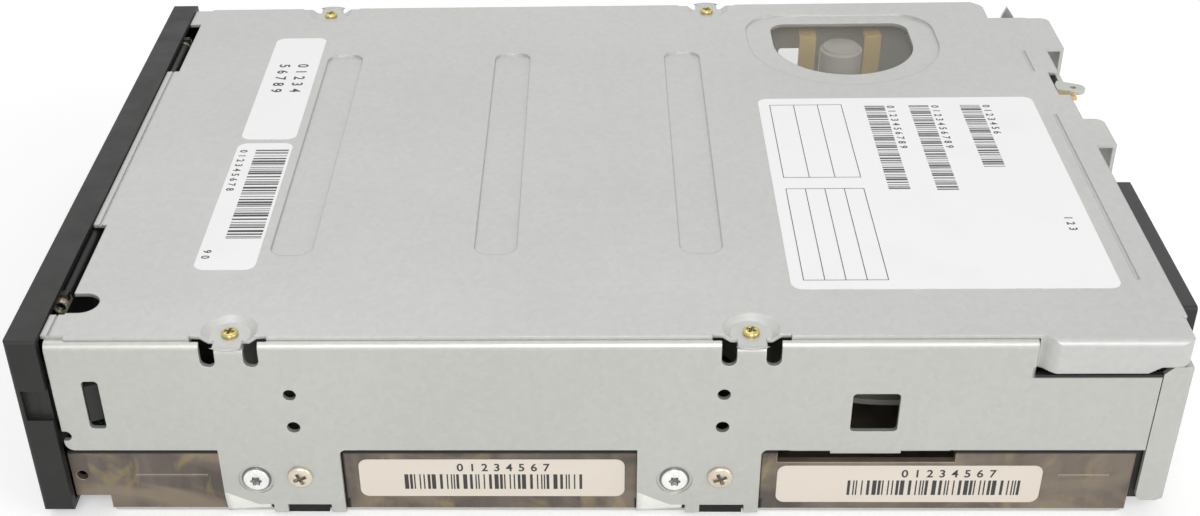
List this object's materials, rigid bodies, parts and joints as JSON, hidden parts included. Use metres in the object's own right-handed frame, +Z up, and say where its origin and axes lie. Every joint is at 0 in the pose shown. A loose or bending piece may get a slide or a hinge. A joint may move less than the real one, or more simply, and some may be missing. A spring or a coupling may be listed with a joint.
{
  "type": "tape drive",
  "caption": "Half-height internal tape drive with a steel case, cast base, hinged cartridge door, loading mechanism, reels and tape path.",
  "frame": {"origin": "under the middle of the drive's bounding box, on the plane of the bottom mounting faces", "axes": "+X from the bezel to the rear panel along the longest side, +Y to the left side seen from the front, +Z up along the shortest side"},
  "size_m": [0.2162, 0.15, 0.042],
  "materials": {
    "bronze_casting": "bronze-brown metallic, satin",
    "zinc_steel": "zinc-plated sheet, satin",
    "cover_steel": "plated sheet, matt",
    "shield_steel": "plated sheet",
    "smoked_window": "smoked clear plastic",
    "bezel_plastic": "fine-grained black",
    "door_plastic": "black",
    "button_plastic": "dark grey",
    "black_plastic": "black moulding",
    "ivory_plastic": "natural nylon",
    "gear_plastic": "white acetal",
    "reel_plastic": "pale grey",
    "roller_plastic": "off-white",
    "clear_lens": "frosted clear plastic",
    "lamp_body": "pale epoxy",
    "circuit_board": "green solder mask",
    "gold_screw": "yellow zinc",
    "plain_screw": "plain zinc",
    "dark_shaft": "blackened",
    "brass_bush": "turned",
    "brass_strip": "stamped",
    "spring_steel": "drawn wire",
    "tray_steel": "zinc-plated sheet",
    "pin_steel": "ground",
    "motor_steel": "plated can",
    "stepper_cap": "translucent grey",
    "carriage_metal": "die cast",
    "head_ceramic": "polished",
    "arm_metal": "stamped"
  },
  "bodies": {
    "drive": {"base_casting": "bronze_casting", "side_plate_right": "zinc_steel", "side_plate_left": "zinc_steel", "top_cover": "cover_steel", "window_lens": "smoked_window", "bezel": "bezel_plastic", "rear_panel": "zinc_steel", "bottom_shield": "shield_steel", "cover_screws": "gold_screw", "leg_star_screws": "plain_screw", "leg_cross_screws": "plain_screw", "bottom_screws": "plain_screw", "door_bushes": "brass_bush", "door_spring": "spring_steel", "button_spring": "spring_steel", "indicator_lenses": "clear_lens", "indicator_lamps": "lamp_body", "front_board": "circuit_board", "eject_switch": "black_plastic", "logic_board": "circuit_board", "board_chips": "black_plastic", "scsi_connector": "black_plastic", "power_connector": "ivory_plastic", "jumper_pins": "black_plastic", "ground_lug": "plain_screw", "ground_contact": "brass_strip", "loader_bracket_right": "tray_steel", "loader_bracket_left": "tray_steel", "load_motor": "motor_steel", "supply_motor": "motor_steel", "take_up_motor": "motor_steel", "path_posts": "pin_steel", "head_brackets": "brass_strip", "head_rods": "pin_steel", "stepper_motor": "stepper_cap"},
    "door": {"cartridge_door": "door_plastic", "door_shaft": "dark_shaft"},
    "button": {"eject_button": "button_plastic"},
    "receiver": {"receiver_tray": "tray_steel", "receiver_pins": "pin_steel", "receiver_springs": "spring_steel"},
    "cams": {"cam_plate_right": "ivory_plastic", "cam_plate_left": "ivory_plastic"},
    "sync": {"sync_shaft": "pin_steel", "sync_pinions": "gear_plastic", "load_gear": "gear_plastic"},
    "worm": {"load_worm": "brass_bush"},
    "supply": {"supply_gear": "gear_plastic"},
    "reel": {"take_up_reel": "reel_plastic", "reel_top_flange": "reel_plastic"},
    "roller_1": {"guide_roller_1": "roller_plastic"},
    "roller_2": {"guide_roller_2": "roller_plastic"},
    "roller_3": {"guide_roller_3": "roller_plastic"},
    "roller_4": {"guide_roller_4": "roller_plastic"},
    "carriage": {"head_carriage": "carriage_metal", "tape_head": "head_ceramic"},
    "screw": {"lead_screw": "pin_steel"},
    "arm": {"leader_arm": "arm_metal"},
    "lever": {"cartridge_lever": "black_plastic"}
  },
  "joints": [
    {"name": "door_swing", "type": "hinge", "parent": "drive", "child": "door", "pos_m": [-0.10215, 0, 0.0389], "axis": [0, 1, 0], "range_deg": [-90, 0]},
    {"name": "eject_push", "type": "slide", "parent": "drive", "child": "button", "axis": [1, 0, 0], "range_m": [0, 0.0012], "stiffness_N_per_m": 400},
    {"name": "cam_slide", "type": "slide", "parent": "drive", "child": "cams", "axis": [1, 0, 0], "range_m": [0, 0.012]},
    {"name": "receiver_lower", "type": "slide", "parent": "drive", "child": "receiver", "axis": [0, 0, 1], "range_m": [-0.003, 0]},
    {"name": "sync_spin", "type": "hinge", "parent": "drive", "child": "sync", "pos_m": [0.00985, 0, 0.0126], "axis": [0, 1, 0], "range_deg": [0, 171.9]},
    {"name": "worm_spin", "type": "hinge", "parent": "drive", "child": "worm", "pos_m": [0.00985, -0.0631, 0.01936], "axis": [1, 0, 0], "range_deg": [-3438, 0]},
    {"name": "supply_spin", "type": "hinge", "parent": "drive", "child": "supply", "pos_m": [-0.04865, 0, 0.008], "axis": [0, 0, 1], "continuous": true},
    {"name": "take_up_spin", "type": "hinge", "parent": "drive", "child": "reel", "pos_m": [0.05585, -0.018, 0.014], "axis": [0, 0, 1], "continuous": true},
    {"name": "roller_1_spin", "type": "hinge", "parent": "drive", "child": "roller_1", "pos_m": [0.01835, 0.0485, 0.02], "axis": [0, 0, 1], "continuous": true},
    {"name": "roller_2_spin", "type": "hinge", "parent": "drive", "child": "roller_2", "pos_m": [0.03585, 0.0605, 0.02], "axis": [0, 0, 1], "continuous": true},
    {"name": "roller_3_spin", "type": "hinge", "parent": "drive", "child": "roller_3", "pos_m": [0.08085, 0.058, 0.02], "axis": [0, 0, 1], "continuous": true},
    {"name": "roller_4_spin", "type": "hinge", "parent": "drive", "child": "roller_4", "pos_m": [0.08785, 0.036, 0.02], "axis": [0, 0, 1], "continuous": true},
    {"name": "head_lift", "type": "slide", "parent": "drive", "child": "carriage", "axis": [0, 0, 1], "range_m": [-0.0026, 0.0026]},
    {"name": "lead_screw_spin", "type": "hinge", "parent": "drive", "child": "screw", "pos_m": [0.05835, 0.058, 0.02], "axis": [0, 0, 1], "range_deg": [-1872, 1872]},
    {"name": "leader_arm_swing", "type": "hinge", "parent": "drive", "child": "arm", "pos_m": [0.02185, 0.062, 0.032], "axis": [0, 0, 1], "range_deg": [0, 60]},
    {"name": "cartridge_lever_swing", "type": "hinge", "parent": "drive", "child": "lever", "pos_m": [0.01425, -0.034, 0.019], "axis": [0, 0, 1], "range_deg": [0, 15]}
  ],
  "couplings": [
    {"joint": "receiver_lower", "follows": "cam_slide", "ratio": -0.25},
    {"joint": "sync_spin", "follows": "cam_slide", "rad_per_m": 250},
    {"joint": "worm_spin", "follows": "cam_slide", "rad_per_m": -5000},
    {"joint": "lead_screw_spin", "follows": "head_lift", "rad_per_m": -12566}
  ]
}
